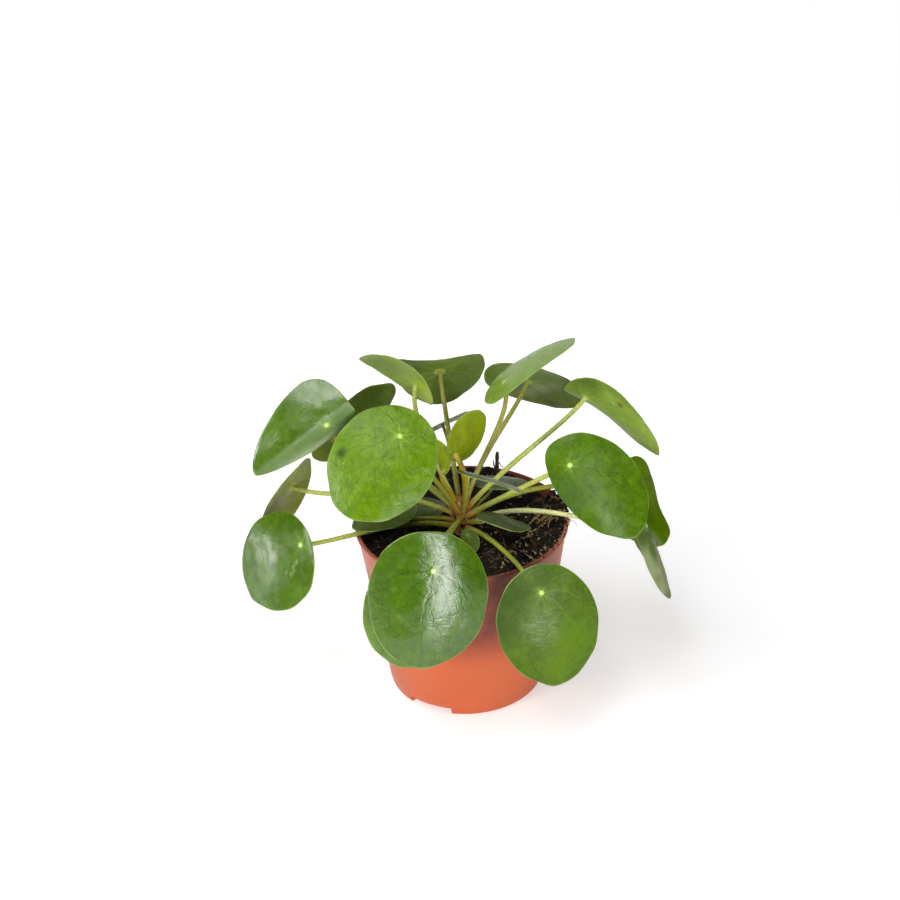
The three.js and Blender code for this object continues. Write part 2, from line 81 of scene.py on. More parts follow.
# Every leaf in turn: its hub, where the petiole meets the blade; how far its upper side leans from level,
# toward which bearing, and the turn of its tip from straight downhill; its length, width, sag and wave;
# and the height, rise and bearing of the petiole's foot on the stem. The rest is in words:
# bend is the bearing of the bend, its arch, the fold, the fold's place and its softness, and
# face, back and stalk name the colours of the upper side, of the underside and of the petiole.
LEAF_MEASURES = ("hub", "lean", "toward", "turn", "long", "wide", "sag", "wave", "base")
LEAVES = {
    "01": ((-70, -20, 179), 77, -79, -59, 56, 35, 2, 1, (109, 50, 180),
           dict(aside=-9, offset=0.2, point=0.13, egg=0.18, bend=(90, 8, 55, 0, 3), meet=1, face="smooth")),
    "02": ((-71, 45, 134), 79, 127, -125, 60, 35, 2, 0.8, (104, 44, 134),
           dict(offset=0.22, bend=(90, 30, 0, 0, 1), stalk="yellow")),
    "03": ((-31, -30, 176), 45, -89, -38, 64, 56, 4, 1, (109, 62, -132),
           dict(bend=(90, 30, 0, 0, 1), face="bright")),
    "04": ((-97, 29, 112), 71, 146, 34, 58, 40, 2, 1, (106.3, 32, 176),
           dict(offset=0.17, bend=(90, 30, 0, 0, 1), stalk="yellow", back="olive")),
    "05": ((-89, -25, 107), 59, -129, -45, 55, 55, 2, 1, (99.3, 28, -160), dict(offset=0.36, face="smooth")),
    "06": ((-16, -85, 127), 68, -90, -15, 72, 66, 3, 1, (106.3, 25, -98),
           dict(offset=0.22, bend=(100, 75, 0, 0, 1), face="waxy")),
    "07": ((-22, -73, 108), 71, -95, -18, 59, 56, 3, 1, (103, 14, -117),
           dict(offset=0.28, bend=(90, 30, 0, 0, 1), face="rear")),
    "08": ((40, -77, 105), 73, -83, 9, 68, 55, 3, 1, (99.3, 22, -57),
           dict(offset=0.28, bend=(90, 40, 0, 0, 1), face="dusty")),
    "09": ((59, -25, 151), 64, -98, 46, 66, 44, 3, 1, (106.3, 38, -28),
           dict(aside=4.5, offset=0.27, bend=(-110, 50, 30, 7, 3), stalk="yellow")),
    "10": ((100, 22, 111), 69, -35, -7, 54, 45, 4, 1, (103, 36, 12),
           dict(bend=(0, 20, -50, 25, 3), face="matt")),
    "11": ((101, -24, 110), 71, -19, 12, 66, 32, 2, 0.6, (99.3, 36, -4),
           dict(aside=6, point=0.1, bend=(90, 0, 110, 0, 2), face="grey", stalk="pale")),
    "12": ((71, 14, 171), 59, 50, -65, 58, 39, 3, 1, (109, 50, 8),
           dict(aside=-2, offset=0.28, point=0.09, bend=(90, -20, -20, 0, 3), back="lit", stalk="yellow")),
    "13": ((26, 12, 183), 41, 170, -144, 58, 46, 5, 0.4, (110, 66, 44), dict(face="soft", stalk="brown")),
    "14": ((41, 56, 160), 57, 72, -73, 57, 46, 3, 0.8, (105.5, 52, 66), dict(offset=0.06, stalk="brown")),
    "15": ((-9, 48, 173), 62, 93, 0, 54, 52, -5, 0.6, (107.5, 55, 100),
           dict(offset=0.05, bend=(180, 10, 30, 10, 2), stalk="brown")),
    "16": ((-22, 24, 177), 67, 42, 130, 45, 39, 5.5, 0.6, (110.5, 62, 143),
           dict(aside=7, offset=0.2, bend=(90, 30, 0, 0, 1), back="lit", stalk="yellow")),
    "17": ((-2, -8, 150), 102, 116, -138, 30, 20, 0, 0.3, (113, 84, -20),
           dict(offset=0.4, bend=(90, -30, 0, 0, 1), slim=1.2, face="young", back="young", stalk="amber")),
    "18": ((-9, -9, 141), 97, 43, 149, 20, 13, 0, 0.2, (112, 80, 180),
           dict(offset=0.4, bend=(90, 0, -80, 0, 1), slim=0.6, face="young", back="young", stalk="amber")),
    "19": ((-9, 44, 141), 42, 128, -122, 29, 24, 1, 0.4, (102.5, 50, 92),
           dict(offset=0.1, slim=0.7, face="deep")),
    "20": ((14, -20, 117), 18, 52, -56, 29, 24, 1, 0.5, (103, 25, -45),
           dict(offset=0.3, slim=0.7, face="deep")),
    "21": ((3, -22, 107), 70, -104, 24, 13, 10, 0, 0.2, (99.3, 15, -93), dict(slim=0.6, face="deep")),
    "22": ((5, -24, 148), 31, 59, -78, 36, 27, 1, 0.4, (108, 62, -75),
           dict(offset=0.3, slim=0.7, face="deep")),
    "23": ((20, 18, 116), 11, 50, -30, 31, 21, 1, 0.4, (102, 28, 46),
           dict(offset=0.12, slim=0.6, face="deep")),
    "24": ((-34, -7, 114), 11, 146, 31, 36, 32, 1, 0.5, (103, 12, 172), dict(slim=0.8, face="deep")),
    "25": ((-15, 10, 104), 4, 173, -35, 22, 20, 0, 0.4, (99.3, 10, 125), dict(slim=0.6, face="deep")),
}
USUAL_LEAF = dict(offset=0.25, point=0.03, egg=0, aside=0, meet=0.5, slim=1, bend=(90, 20, 0, 0, 1),
                  face="mid", back="grey", stalk="olive")

# Blemishes and painted light and shade: their place along and across the leaf from its hub, two radii,
# strength and colour
BLEMISHES_AND_PAINTED_LIGHT = {
    # Leaf 01: a plain green band along the crease, made rougher, and a painted pale reflection of the floor
    # on the flap below it
    "01": ((10, 0.5, 42, 3.2, 0.9, (0.08, 0.155, 0.012)), (12, 8, 38, 4.2, 0.85, (0.28, 0.35, 0.18))),
    "03": ((24.5, -20.8, 3, 3, 1, (0.018, 0.055, 0.001)), (36, -8, 2, 2, 0.35, (0.04, 0.09, 0.001))),
    # Leaf 04: painted highlight beside the hub
    "04": ((9.4, 5.4, 5, 5, 0.5, (0.3, 0.34, 0.19)), (3, 2, 4, 4, 0.4, (0.28, 0.32, 0.18))),
    "05": ((13, 11.6, 0.8, 0.8, 0.5, (0.36, 0.45, 0.12)), (10, 8.5, 0.7, 0.7, 0.45, (0.36, 0.45, 0.12)),
           (15.5, 9, 0.7, 0.7, 0.45, (0.4, 0.48, 0.2)), (6.3, 7.3, 0.8, 0.8, 0.5, (0.36, 0.45, 0.12))),
    # Leaf 08: painted whitish sheen in the middle, painted shade on the upper left and behind the hub, and
    # painted light on the lower right
    "08": ((18, -4, 12, 9, 0.35, (0.2, 0.25, 0.13)), (31, 10, 15, 15, 0.6, (0.115, 0.215, 0.006)),
           (-3, -16, 13, 13, 0.8, (0.034, 0.068, 0.01)), (13, -23, 11, 11, 0.7, (0.045, 0.075, 0.018)),
           (-9, 2, 8, 8, 0.5, (0.045, 0.085, 0.012)), (44, 2, 10, 10, 0.6, (0.115, 0.205, 0.008))),
    # Leaf 09: two yellow spots, and painted shade on the lower left
    "09": ((40.7, 10.8, 0.7, 0.7, 0.7, (0.45, 0.4, 0.08)), (28.8, 17.2, 0.6, 0.6, 0.6, (0.4, 0.42, 0.1)),
           (12, -15, 13, 13, 0.5, (0.055, 0.105, 0.028))),
    # Leaf 10: a painted lit pale flap, and painted shade
    "10": ((35, -3, 10, 3.2, 0.8, (0.26, 0.31, 0.14)), (22, 5, 10, 5, 0.55, (0.045, 0.09, 0.003))),
    # Leaf 11: painted shadow at the top, and brown spots below
    "11": ((3, -5, 10, 9, 0.95, (0.045, 0.085, 0.001)), (14, -3.4, 11, 2.4, 0.9, (0.045, 0.085, 0.002)),
           (36, -1.6, 13, 1.2, 0.5, (0.16, 0.14, 0.07)), (53, -2.5, 4, 4, 0.7, (0.11, 0.08, 0.04)),
           (36, -5.5, 2, 2, 0.6, (0.16, 0.09, 0.04)), (27, -4.5, 1.4, 1.4, 0.45, (0.18, 0.11, 0.05))),
    # Leaf 12: painted shade on the upper left, a brown blemish and a pale dot
    "12": ((-4, -17, 13, 13, 0.85, (0.055, 0.1, 0.012)), (18, -21, 26, 4.5, 0.65, (0.08, 0.14, 0.014)),
           (20, -13.5, 2, 2, 0.85, (0.12, 0.06, 0.025)), (16, -11, 1.5, 1.5, 0.5, (0.42, 0.42, 0.22))),
    # Leaf 14: painted whitish highlights in a streak, and painted shade
    "14": ((2, 10, 6, 6, 0.35, (0.36, 0.42, 0.27)), (9, 3, 6, 6, 0.4, (0.4, 0.45, 0.32)),
           (16, -5, 6, 6, 0.35, (0.36, 0.42, 0.27)), (6, -12, 9, 9, 0.4, (0.06, 0.12, 0.01))),
    # Leaf 16: painted shadow toward the tip, and painted light shining through behind the hub
    "16": ((20, 5, 13, 13, 0.6, (0.14, 0.2, 0.05)), (-9, 5, 13, 13, 1, (0.33, 0.44, 0.001))),
}

POINT_POWER = 6
SMALL_LEAF = 40
PETIOLE_SIDES = 20
VEIN_RELIEF = 0.12

# Main veins leave the hub at these angles from the midrib, and bend toward the tip
VEINS = (0, 0.78, 1.55, 2.45)
VEIN_BEND = 0.012

# Colours are linear red, green and blue
FACES = {
    "bright": dict(dark=(0.070, 0.155, 0.001), light=(0.142, 0.26, 0.002), shine=0.22, rough=0.2, crinkle=1.5,
                   netted=0.28),
    "waxy": dict(dark=(0.036, 0.095, 0.001), light=(0.075, 0.155, 0.003), shine=0.68, rough=0.17,
                 vein_shade=(0.75, 0.45), pale=(0, 0)),
    "smooth": dict(dark=(0.040, 0.100, 0.001), light=(0.080, 0.165, 0.003), shine=0.72, rough=0.21,
                   crinkle=0.5),
    "mid": dict(dark=(0.046, 0.108, 0.001), light=(0.090, 0.185, 0.003)),
    "matt": dict(dark=(0.085, 0.165, 0.001), light=(0.135, 0.24, 0.001), shine=0.03, rough=0.5),
    # A dull face whose folds below the hub carry a painted whitish sheen
    "dusty": dict(dark=(0.046, 0.095, 0.004), light=(0.090, 0.165, 0.008), shine=0.15, rough=0.3,
                  vein_shade=(0, 0), pale=(0.3, 0.2), painted_sheen_folds=0.33),
    "soft": dict(dark=(0.15, 0.245, 0.030), light=(0.21, 0.33, 0.05), shine=0.15, crinkle=0.05,
                 vein_shade=(0, 0.1), spotted=0, netted=0.05),
    "rear": dict(dark=(0.085, 0.155, 0.02), light=(0.13, 0.22, 0.035), shine=0.3),
    "grey": dict(dark=(0.17, 0.22, 0.085), light=(0.24, 0.28, 0.13), shine=0.2, crinkle=0.3, vein_shade=(0, 0.1),
                 spotted=0, netted=0.1),
    "deep": dict(dark=(0.052, 0.085, 0.010), light=(0.100, 0.145, 0.022), shine=0.12, hub=0.3),
    "young": dict(dark=(0.16, 0.22, 0.001), light=(0.235, 0.305, 0.001), hub=0.3),
}
BACKS = {
    "grey": dict(dark=(0.118, 0.182, 0.016), light=(0.172, 0.245, 0.034)),
    "olive": dict(dark=(0.17, 0.225, 0.018), light=(0.25, 0.31, 0.045)),
    "lit": dict(dark=(0.185, 0.285, 0.028), light=(0.26, 0.37, 0.055)),
    "young": dict(dark=(0.17, 0.225, 0.001), light=(0.24, 0.305, 0.001)),
}
STALKS = {
    "olive": (0.40, 0.44, 0.06),
    "yellow": (0.50, 0.55, 0.12),
    "pale": (0.72, 0.72, 0.34),
    "brown": (0.38, 0.37, 0.08),
    "amber": (0.62, 0.42, 0.012),
}
STALK_FOOT = (0.46, 0.22, 0.035)
STALK_TIP = (0.45, 0.52, 0.12)

# Loose bits lie on the soil within this radius, and on the lip beyond it
SOIL_REACH = 56.5
SOIL_HOLLOW = (44, 40)
CHIP = (0.55, 0.40, 0.19)
PEAT = (0.013, 0.008, 0.005)
STRAW = (0.42, 0.27, 0.11)

rng = np.random.default_rng(20)


def smooth(value, low, high):
    """0 below low, 1 above high, and an S curve between."""
    share = np.clip((value - low) / (high - low), 0, 1)
    return share * share * (3 - 2 * share)


def polar(radius, angle):
    return radius * cos(angle), radius * sin(angle)


def direction(bearing):
    """A level direction, from its bearing in degrees."""
    return np.array([*polar(1, radians(bearing)), 0])


def toned(colour, share, lift=0.0):
    return tuple(c * share + lift for c in colour)


# Pieces
def linked(name, data):
    piece = bpy.data.objects.new(name, data)
    bpy.context.collection.objects.link(piece)
    return piece


def add_piece(name, mesh, nodes):
    """A piece that rides on the plant's body and stands for CAD nodes."""
    piece = linked(name, mesh)
    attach(piece, "root")
    if nodes:
        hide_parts(*nodes)


def new_mesh(name, points, faces):
    """A mesh from points in millimetres."""
    mesh = bpy.data.meshes.new(name)
    mesh.from_pydata((np.asarray(points, dtype=float) * MM).tolist(), [], faces)
    return mesh


def add_soft_piece(name, points, faces, materials, nodes, layers, face_materials=None):
    """A smooth-shaded piece whose points carry layers of colours and numbers."""
    mesh = new_mesh(name, points, faces)
    for material in materials:
        mesh.materials.append(material)
    if face_materials is not None:
        mesh.polygons.foreach_set("material_index", face_materials)
    for label, (kind, key, values) in layers.items():
        layer = mesh.attributes.new(label, kind, "POINT")
        layer.data.foreach_set(key, np.asarray(values, dtype=float).ravel())
    mesh.shade_smooth()
    mesh.validate()
    add_piece(name, mesh, nodes)


def add_sharp_piece(name, mesh, material, slot):
    """A piece that keeps its sharp edges."""
    mesh.name = name
    mesh.materials.clear()
    mesh.materials.append(material)
    mesh.shade_smooth()
    mesh.set_sharp_from_angle(angle=radians(35))
    add_piece(name, mesh, [slot])


def ring_faces(rows, count, first, start, end):
    """Quads between rows of points that form rings, and fans to one point at either end."""
    faces = []
    for side in range(count):
        after = (side + 1) % count
        faces.append((start, first + after, first + side))
        for row in range(rows - 1):
            low, high = first + row * count, first + (row + 1) * count
            faces.append((low + side, low + after, high + after, high + side))
        last = first + (rows - 1) * count
        faces.append((last + side, last + after, end))
    return faces


# Material writing
def sign(operation):
    """What a plain sign does between two values."""
    return lambda one, other: one.nodes.math(operation, one, other)


class Value:
    """What a node gives out. Plain signs add the nodes that reckon with it."""

    __add__, __sub__, __mul__, __truediv__ = map(sign, ("ADD", "SUBTRACT", "MULTIPLY", "DIVIDE"))

    def __init__(self, nodes, socket):
        self.nodes, self.socket = nodes, socket

    def __rsub__(self, other):
        return self.nodes.math("SUBTRACT", other, self)

    def __abs__(self):
        return self.nodes.math("ABSOLUTE", self)

    def ease(self, low, high, start=0.0, end=1.0):
        """start where this is low or less, end where it is high or more."""
        return self.nodes.read("MapRange", "Result", {"interpolation_type": "SMOOTHSTEP"}, Value=self,
                               From_Min=low, From_Max=high, To_Min=start, To_Max=end)

    def noise(self, scale, detail=3, roughness=0.5, distortion=0):
        return self.nodes.read("TexNoise", "Fac", Vector=self, Scale=scale, Detail=detail,
                               Roughness=roughness, Distortion=distortion)

    def cells(self, scale):
        """How far it is to the border in a random pattern of cells."""
        return self.nodes.read("TexVoronoi", "Distance", {"feature": "DISTANCE_TO_EDGE"}, Vector=self,
                               Scale=scale)

    def split(self):
        return [Value(self.nodes, output) for output in self.nodes.node("SeparateXYZ", Vector=self).outputs]


class Nodes:
    """A node tree that is being written."""

    def __init__(self, tree):
        self.tree = tree

    def feed(self, socket, value):
        if isinstance(value, Value):
            self.tree.links.new(value.socket, socket)
        else:
            socket.default_value = value

    def node(self, kind, settings=None, **inputs):
        node = self.tree.nodes.new("ShaderNode" + kind)
        for label, value in (settings or {}).items():
            setattr(node, label, value)
        for label, value in inputs.items():
            self.feed(node.inputs[label.replace("_", " ")], value)
        return node

    def read(self, kind, output, settings=None, **inputs):
        return Value(self, self.node(kind, settings, **inputs).outputs[output])

    def math(self, operation, *values, kind="Math", output=0):
        node = self.node(kind, {"operation": operation})
        for socket, value in zip(node.inputs, values):
            self.feed(socket, value)
        return Value(self, node.outputs[output])

    def mix(self, share, first, second, blend="MIX"):
        node = self.node("Mix", {"data_type": "RGBA", "blend_type": blend})
        for index, value in ((0, share), (6, first), (7, second)):
            self.feed(node.inputs[index], (*value, 1) if isinstance(value, tuple) else value)
        return Value(self, node.outputs[2])

    def attribute(self, label, output="Fac"):
        return self.read("Attribute", output, {"attribute_name": label})


class Surface(Nodes):
    """A material around one Principled shader, with its colour painted in layers."""

    def __init__(self, name, colour=None, **plain):
        self.material = bpy.data.materials.new(name)
        self.material.use_nodes = True
        super().__init__(self.material.node_tree)
        self.shader = self.tree.nodes["Principled BSDF"]
        self.colour = colour or self.attribute("tint", "Color")
        for label, value in plain.items():
            self.shader.inputs[label.replace("_", " ")].default_value = value

    def place(self):
        return self.read("TexCoord", "Object")

    def paint(self, share, colour):
        """Lays a colour over what is painted so far."""
        self.colour = self.mix(share, self.colour, colour)

    def finish(self, roughness=None, height=None, depth=0.0003, strength=0.6):
        self.feed(self.shader.inputs["Base Color"], self.colour)
        if roughness is not None:
            self.feed(self.shader.inputs["Roughness"], roughness)
        if height is not None:
            bump = self.read("Bump", "Normal", Height=height, Strength=strength, Distance=depth)
            self.feed(self.shader.inputs["Normal"], bump)
        return self.material


# Leaf materials
def leaf_veins(coat, flat):
    """Masks of the main veins, of the net of veins and of the wrinkles, and the distance from the hub."""
    wobble = coat.read("TexNoise", "Color", Vector=flat, Scale=0.11, Detail=2)
    warped = coat.math("MULTIPLY_ADD", wobble, (9, 9, 0), flat, kind="VectorMath")
    along, across, seed = flat.split()
    reach = coat.math("SQRT", along * along + across * across)
    bearing = abs(coat.math("ARCTAN2", across, along))
    drift = (flat.noise(0.09, 1) - 0.5) * 5
    main = 0.0
    for start in VEINS:
        gap = abs((bearing - (1 - reach * VEIN_BEND) * start) * reach + drift)
        main = coat.math("MAXIMUM", main, gap.ease(0.1, 0.75, 1, 0))
    main = main * reach.ease(10, 42, 1, 0.2)
    net = warped.cells(0.16).ease(0.0, 0.13, 1, 0)
    net = net * flat.noise(0.13, 2).ease(0.3, 0.6, 0.25, 1)
    # Wrinkles that run out from the hub
    around = coat.read("CombineXYZ", "Vector", X=along / reach, Y=across / reach, Z=(reach + seed) * 0.03)
    wrinkle = around.noise(4.5, 3, 0.6)
    return main, net, wrinkle, reach


def leaf_face(name, dark, light, shine=0.16, rough=0.27, crinkle=1, vein_shade=(0, 0.22), pale=(0.35, 0), painted_sheen_folds=0,
              spotted=0.22, netted=0.34, hub=1):
    """The upper side: waxy, wrinkled and mottled, with painted shade in its sunken veins and a pale spot over
    the petiole, and on some faces a painted whitish sheen over folds.
    """
    coat = Surface(name, dark, IOR=1.5, Specular_IOR_Level=shine, Subsurface_Weight=0.25,
                   Subsurface_Scale=0.0016, Subsurface_Radius=(0.6, 1.0, 0.15))
    flat = coat.attribute("flat", "Vector")
    main, net, wrinkle, reach = leaf_veins(coat, flat)
    fine = flat.noise(0.5, 5, 0.7).ease(0.35, 0.7)
    grain = flat.noise(1.0, 3, 0.65)
    patch = flat.noise(0.26, 3, 0.55, 0.6)
    shade = toned(dark, 0.45)
    coat.paint(flat.noise(0.11, 4, 0.65).ease(0.2, 0.8), light)
    coat.paint(fine * 0.45, light)
    coat.paint(grain.ease(0.3, 0.6, spotted, 0), shade)
    coat.paint(net * netted, shade)
    coat.paint(patch.ease(0.25, 0.5, 0.25, 0), toned(dark, 0.7))
    coat.paint(patch.ease(0.45, 0.8, 0, 0.35), toned(light, 1.3))
    # Painted shade in the sunken main veins
    coat.paint(main * reach.ease(4, 11, *vein_shade), shade)
    if painted_sheen_folds:
        # Painted whitish sheen on folds that run across the blade below the hub
        across, seed = flat.split()[1:]
        rows = coat.read("CombineXYZ", "Vector", X=reach * 0.6, Y=across * 0.2, Z=seed)
        ridge = rows.noise(1, 3, 0.6, 0.5).ease(0.46, 0.66)
        middle = abs(across + 4).ease(3, 12, 1, 0) * reach.ease(5, 20) * reach.ease(20, 36, painted_sheen_folds, 0)
        coat.paint(middle * ridge, (0.36, 0.42, 0.30))
    coat.paint(main * reach.ease(4, 11, *pale), toned(light, 1.5, 0.02))
    # The leaf's blemishes, and painted light and shade on some leaves
    blemish_and_painted_light_share = coat.attribute("blemish_and_painted_light", "Alpha")
    coat.paint(blemish_and_painted_light_share * grain.ease(0.3, 0.55, 0.6, 1), coat.attribute("blemish_and_painted_light", "Color"))
    coat.paint(coat.attribute("share").ease(0.985, 1.0) * 0.3, (0.30, 0.40, 0.10))
    coat.paint(reach.ease(1, 5, 1, 0) * fine * (0.5 * hub), (0.30, 0.48, 0.06))
    coat.paint(reach.ease(0.5, 1.9, hub, 0), (0.52, 0.68, 0.18))
    height = grain * 0.45 + patch * 0.35 - main * 0.15 - net * 0.2 - wrinkle * reach.ease(0, 14, 0.2, 0.9)
    roughness = flat.noise(0.16, 3).ease(0.3, 0.7, rough, rough + 0.1) + blemish_and_painted_light_share * 0.5
    return coat.finish(roughness, height, 0.0003 * crinkle)


def leaf_back(name, dark, light):
    """The underside: paler and duller, with pale veins that stand proud and painted small whitish highlights.
    """
    coat = Surface(name, dark, IOR=1.45, Specular_IOR_Level=0.2, Subsurface_Weight=0.3,
                   Subsurface_Scale=0.0016, Subsurface_Radius=(0.7, 1.0, 0.1))
    flat = coat.attribute("flat", "Vector")
    main, net, wrinkle, reach = leaf_veins(coat, flat)
    coat.paint(flat.noise(0.08, 4, 0.6).ease(0.3, 0.7), light)
    coat.paint(net * 0.25, toned(dark, 0.7))
    coat.paint(main * reach.ease(0, 26, 0.45, 0.08), toned(light, 1.4, 0.04))
    coat.paint(reach.ease(1.8, 4.2, 0.8, 0), (0.42, 0.52, 0.14))
    # Painted small whitish highlights
    coat.paint(flat.noise(1.1, 2).ease(0.68, 0.74) * 0.3, (0.45, 0.5, 0.3))
    # The leaf's blemishes, and painted light and shade on some leaves
    coat.paint(coat.attribute("blemish_and_painted_light", "Alpha"), coat.attribute("blemish_and_painted_light", "Color"))
    coat.paint(coat.attribute("share").ease(0.96, 0.998) * 0.5, (0.30, 0.30, 0.12))
    height = main * 0.7 + flat.noise(0.8, 4) * 0.6 + net * 0.3
    return coat.finish(wrinkle.ease(0.3, 0.7, 0.4, 0.5), height, 0.00022, 0.5)


def leaf_rim():
    coat = Surface("leaf_rim", (0.30, 0.38, 0.10), Roughness=0.45, Subsurface_Weight=0.4,
                   Subsurface_Scale=0.001, Subsurface_Radius=(1.0, 1.0, 0.3))
    cloud = coat.attribute("flat", "Vector").noise(0.1, 3)
    coat.paint(cloud.ease(0.4, 0.65), (0.13, 0.20, 0.04))
    return coat.finish()


# Leaf blades
def bent(leaf, x, y):
    """Where the leaf's bend and sag carry points of the flat blade."""
    bearing, arch, fold, place, softness = leaf.bend
    ax, ay = polar(1, radians(bearing))
    along = x * ax + y * ay
    aside = y * ax - x * ay

    def slope(s):
        power = np.clip((place - s) / softness, -60, 60)
        return np.radians(arch * s / leaf.long) + radians(fold) / (1 + np.exp(power))

    steps = 12
    reach = np.zeros_like(x)
    height = -leaf.sag * (aside / (leaf.long / 2)) ** 2
    for step in range(steps):
        tilt = slope(along * (step + 0.5) / steps) - slope(np.zeros(1))
        reach = reach + np.cos(tilt) * along / steps
        height = height - np.sin(tilt) * along / steps
    return np.stack([reach * ax - aside * ay, reach * ay + aside * ax, height], axis=-1)


def flat_point(leaf, share, angle):
    nip = leaf.point * np.maximum(0, np.cos(angle)) ** POINT_POWER
    x = leaf.long * (np.cos(angle) / 2 + leaf.offset + nip - leaf.egg * np.sin(angle) ** 2)
    y = np.sin(angle) * (leaf.wide / 2 + leaf.aside * np.sign(np.sin(angle)))
    return share * x, share * y


def blade_point(leaf, share, angle):
    """A point midway between the blade's faces. share is 0 at the hub and 1 at the edge."""
    place = bent(leaf, *flat_point(leaf, share, angle))
    place[..., 2] += leaf.wave * share ** 3 * np.sin(3 * angle + leaf.hub[0])
    return place


def blade_normal(leaf, share, angle):
    step = 0.02
    share = np.maximum(share, 0.05)
    outward = blade_point(leaf, share + step, angle) - blade_point(leaf, share - step, angle)
    round_ = blade_point(leaf, share, angle + step) - blade_point(leaf, share, angle - step)
    normal = np.cross(outward, round_)
    return normal / np.linalg.norm(normal, axis=-1, keepdims=True)


def leaf_axes(leaf):
    """The leaf's tip, side and upper directions."""
    lean, turn = radians(leaf.lean), radians(leaf.turn)
    outward = direction(leaf.toward)
    vertical = np.array([0, 0, 1])
    up = outward * sin(lean) + vertical * cos(lean)
    downhill = outward * cos(lean) - vertical * sin(lean)
    tip = downhill * cos(turn) + np.cross(up, downhill) * sin(turn)
    return tip, np.cross(up, tip), up


def vein_relief(x, y):
    """1 on a main vein near the hub, falling to 0 beside it and toward the edge."""
    reach = np.hypot(x, y)
    bearing = np.abs(np.arctan2(y, x))
    relief = np.zeros_like(x)
    for start in VEINS:
        gap = (bearing - start * (1 - reach * VEIN_BEND)) * reach
        relief = np.maximum(relief, np.exp(-(gap / 1.1) ** 2))
    return relief * (1 - 0.85 * smooth(reach, 8, 42))


def quilted(x, y, seed):
    """The slow swelling of the blade between its veins, from -1 to 1."""
    swell = [noise.noise((px * 0.11, py * 0.11, seed)) + 0.5 * noise.noise((px * 0.24, py * 0.24, seed + 9))
             for px, py in zip(x.ravel().tolist(), y.ravel().tolist())]
    return np.array(swell).reshape(x.shape)


def leaf_blemishes_and_painted_light(x, y, blemishes_and_light):
    """The colour of the blemishes and of the painted light and shade at each point, with their strength."""
    colour = np.zeros((len(x), 4))
    total = np.full(len(x), 1e-6)
    for along, across, long, wide, strength, tint in blemishes_and_light:
        near = np.exp(-np.hypot((x - along) / long, (y - across) / wide) ** 3) * strength
        colour[:, :3] += near[:, None] * np.array(tint)
        colour[:, 3] = np.maximum(colour[:, 3], near)
        total += near
    colour[:, :3] /= total[:, None]
    return colour


def make_blade(number, leaf, materials):
    small = leaf.long < SMALL_LEAF
    rings, sectors, size = (16, 64, 0.5) if small else (28, 120, 1)
    seed = int(number) * 7.3
    angle = np.arange(sectors) * FULL_TURN / sectors
    share = (np.arange(1, rings + 1) / rings) ** 0.9
    half = BLADE_THICKNESS / 2 * (1 - 0.5 * smooth(share, 0.2, 1))
    shares, angles = np.meshgrid(share, angle, indexing="ij")
    ripple = 0.006 * np.sin(7 * angles + seed) + 0.005 * np.sin(11 * angles + 2 * seed)
    shares = shares * (1 + ripple * shares ** 4)
    x, y = flat_point(leaf, shares, angles)
    centre = blade_point(leaf, shares, angles)
    normal = blade_normal(leaf, shares, angles)
    reach = np.hypot(x, y)
    swell = quilted(x, y, seed) * 0.22 * size * smooth(reach, 0, 12)
    swell = swell - 0.4 * size * np.exp(-(reach / 5) ** 2) * smooth(reach, 0, 4)
    veins = vein_relief(x, y)
    rise = half[:, None] + swell - 0.2 * VEIN_RELIEF * size * veins
    fall = -half[:, None] + swell - 0.3 * VEIN_RELIEF * size * veins
    upper = centre + normal * rise[..., None]
    lower = centre + normal * fall[..., None]
    # The rim is rounded over by three rows between the two faces
    away = centre[-1] - centre[-2]
    away /= np.linalg.norm(away, axis=-1, keepdims=True)
    middle = centre[-1] + normal[-1] * swell[-1][:, None]
    edge = half[-1]
    rim = [middle + normal[-1] * edge * cos(turn) + away * edge * sin(turn)
           for turn in (pi / 4, pi / 2, 3 * pi / 4)]
    rows = [*upper, *rim, *lower[::-1]]
    top = np.array([[0, 0, half[0] + 0.25 * size]])
    bottom = np.array([[0, 0, -half[0]]])
    points = np.array(leaf.hub) + np.concatenate([top, *rows, bottom]) @ np.stack(leaf_axes(leaf))

    def on_every_row(values):
        """Numbers of the upper face's rows, repeated for the rim and for the underside."""
        zero = np.zeros(1)
        return np.concatenate([zero, *values, *[values[-1]] * len(rim), *values[::-1], zero])

    flat_x, flat_y = on_every_row(x), on_every_row(y)
    flat = np.stack([flat_x / size, flat_y / size, np.full_like(flat_x, seed * 10)], axis=-1)
    # The rows run from the upper side down, so each face is turned over
    faces = [(face[0], *face[:0:-1]) for face in ring_faces(len(rows), sectors, 1, 0, len(points) - 1)]
    # The faces of a sector have the upper side's material, then the rim's, then the underside's
    parts = [0] * rings + [2] * (len(rim) + 1) + [1] * rings
    add_soft_piece(
        f"blade_{number}", points, faces, materials, [f"leaf_{number}_blade"],
        {"flat": ("FLOAT_VECTOR", "vector", flat), "share": ("FLOAT", "value", on_every_row(shares)),
         "blemish_and_painted_light": ("FLOAT_COLOR", "color", leaf_blemishes_and_painted_light(flat_x, flat_y, BLEMISHES_AND_PAINTED_LIGHT.get(number, ())))},
        parts * sectors,
    )


# Tubes
def frames_along(path):
    """Two directions square to the path at each of its points, turning as little as they can."""
    ahead = np.gradient(path, axis=0)
    ahead /= np.linalg.norm(ahead, axis=1, keepdims=True)
    side = np.array([0, 0, 1]) if abs(ahead[0][2]) < 0.9 else np.array([1, 0, 0])
    first = []
    for heading in ahead:
        side = side - heading * (side @ heading)
        side = side / np.linalg.norm(side)
        first.append(side)
    first = np.array(first)
    return first, np.cross(ahead, first)


